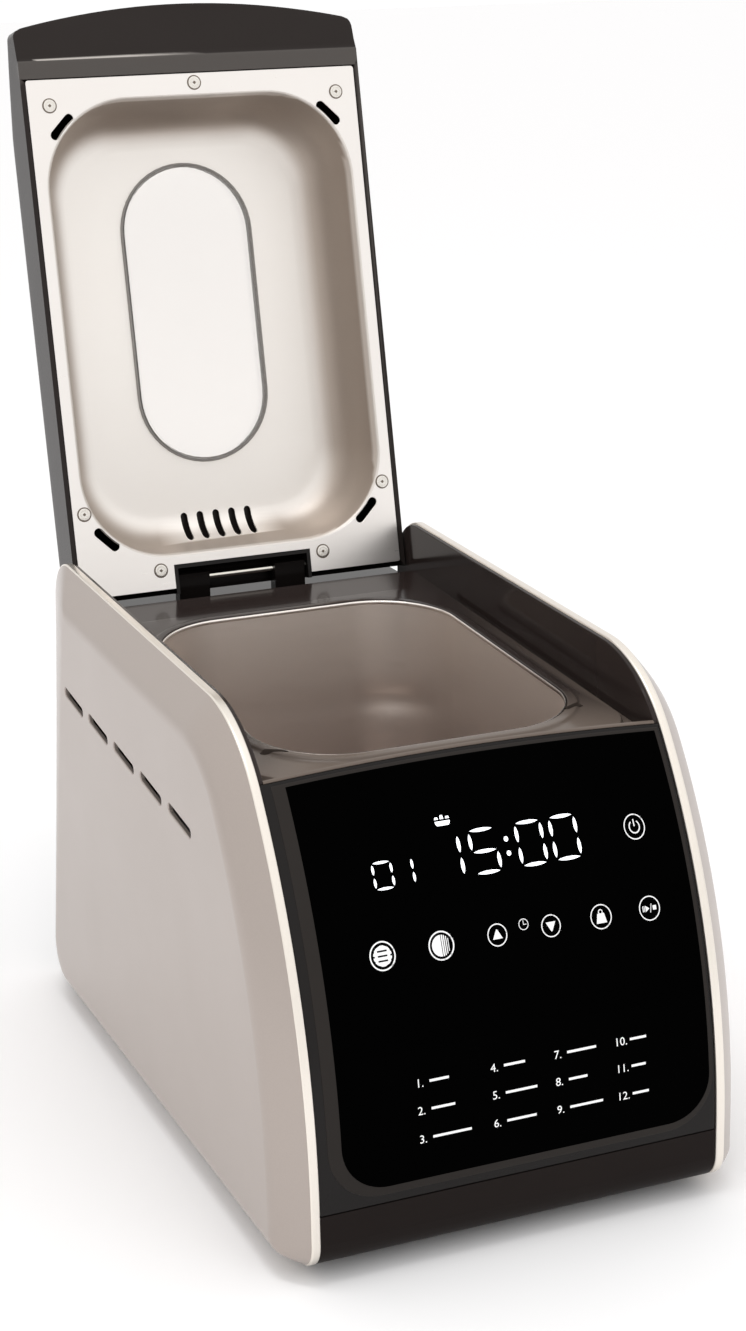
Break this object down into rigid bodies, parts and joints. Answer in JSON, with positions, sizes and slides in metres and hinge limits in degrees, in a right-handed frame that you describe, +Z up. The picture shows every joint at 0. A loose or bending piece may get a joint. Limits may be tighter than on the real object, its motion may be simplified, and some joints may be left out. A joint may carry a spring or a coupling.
{
  "type": "bread machine",
  "caption": "Compact countertop bread machine with curved black glass control front, champagne side panels and its windowed lid standing open over the oven cavity.",
  "frame": {"origin": "middle of the bounding box at floor level, under the feet", "axes": "+Z up, the control front faces -Y, +X to the right seen from the front"},
  "size_m": [0.224, 0.4224, 0.5117],
  "materials": {
    "base_plastic": "fine texture",
    "foot_rubber": "matt",
    "panel_paint": "satin champagne lacquer",
    "body_plastic": "fine texture",
    "gland_plastic": "matt",
    "deck_plastic": "gloss",
    "housing_plastic": "gloss",
    "bezel_plastic": "satin gloss",
    "panel_glass": "gloss, back-printed black",
    "circuit_board": "solder mask",
    "display_body": "matt",
    "liner_steel": "brushed",
    "shield_steel": "mill finish",
    "heater_sheath": "heat-darkened",
    "insulator_ceramic": "unglazed",
    "sensor_steel": "bright",
    "fuse_body": "unglazed",
    "chassis_steel": "galvanised",
    "screw_steel": "zinc plated",
    "bearing_metal": "cast",
    "shaft_steel": "ground",
    "coupling_metal": "cast",
    "pulley_plastic": "moulded",
    "motor_pulley_metal": "turned",
    "belt_rubber": "matt",
    "motor_steel": "laminated steel",
    "rotor_metal": "turned",
    "fan_plastic": "moulded",
    "hinge_plastic": "gloss",
    "pin_steel": "polished",
    "lid_plastic": "satin gloss",
    "plate_steel": "satin steel",
    "seal_grey": "matt",
    "window_glass": "clear",
    "window_tint": "tinted"
  },
  "bodies": {
    "body": {"base_tray": "base_plastic", "rubber_feet": "foot_rubber", "left_side_panel": "panel_paint", "right_side_panel": "panel_paint", "rear_cover": "body_plastic", "cable_gland": "gland_plastic", "deck_frame": "deck_plastic", "front_housing": "housing_plastic", "panel_bezel": "bezel_plastic", "control_glass": "panel_glass", "control_board": "circuit_board", "display_module": "display_body", "oven_liner": "liner_steel", "heat_shield": "shield_steel", "heater_element": "heater_sheath", "heater_insulators": "insulator_ceramic", "temperature_sensor": "sensor_steel", "thermal_fuse": "fuse_body", "chassis_plate": "chassis_steel", "chassis_screws": "screw_steel", "shaft_bearing": "bearing_metal", "drive_belt": "belt_rubber", "motor_stator": "motor_steel", "power_board": "circuit_board", "hinge_knuckles": "hinge_plastic", "hinge_pin": "pin_steel"},
    "lid": {"lid_hinge_lugs": "hinge_plastic", "lid_shell": "lid_plastic", "lid_inner_plate": "plate_steel", "lid_screws": "screw_steel", "window_seal": "seal_grey", "lid_window": "window_glass", "lid_outer_window": "window_tint"},
    "drive": {"drive_shaft": "shaft_steel", "drive_coupling": "coupling_metal", "large_pulley": "pulley_plastic"},
    "rotor": {"motor_rotor": "rotor_metal", "motor_pulley": "motor_pulley_metal", "cooling_fan": "fan_plastic"}
  },
  "joints": [
    {"name": "lid_hinge", "type": "hinge", "parent": "body", "child": "lid", "pos_m": [0, 0.1288, 0.2222], "axis": [1, 0, 0], "range_deg": [0, 101]},
    {"name": "drive_spin", "type": "hinge", "parent": "body", "child": "drive", "pos_m": [0, -0.0327, 0.04], "axis": [0, 0, 1], "continuous": true},
    {"name": "rotor_spin", "type": "hinge", "parent": "body", "child": "rotor", "pos_m": [0, 0.1053, 0.04], "axis": [0, 0, 1], "continuous": true}
  ],
  "couplings": [
    {"joint": "rotor_spin", "follows": "drive_spin", "ratio": 5.5}
  ]
}
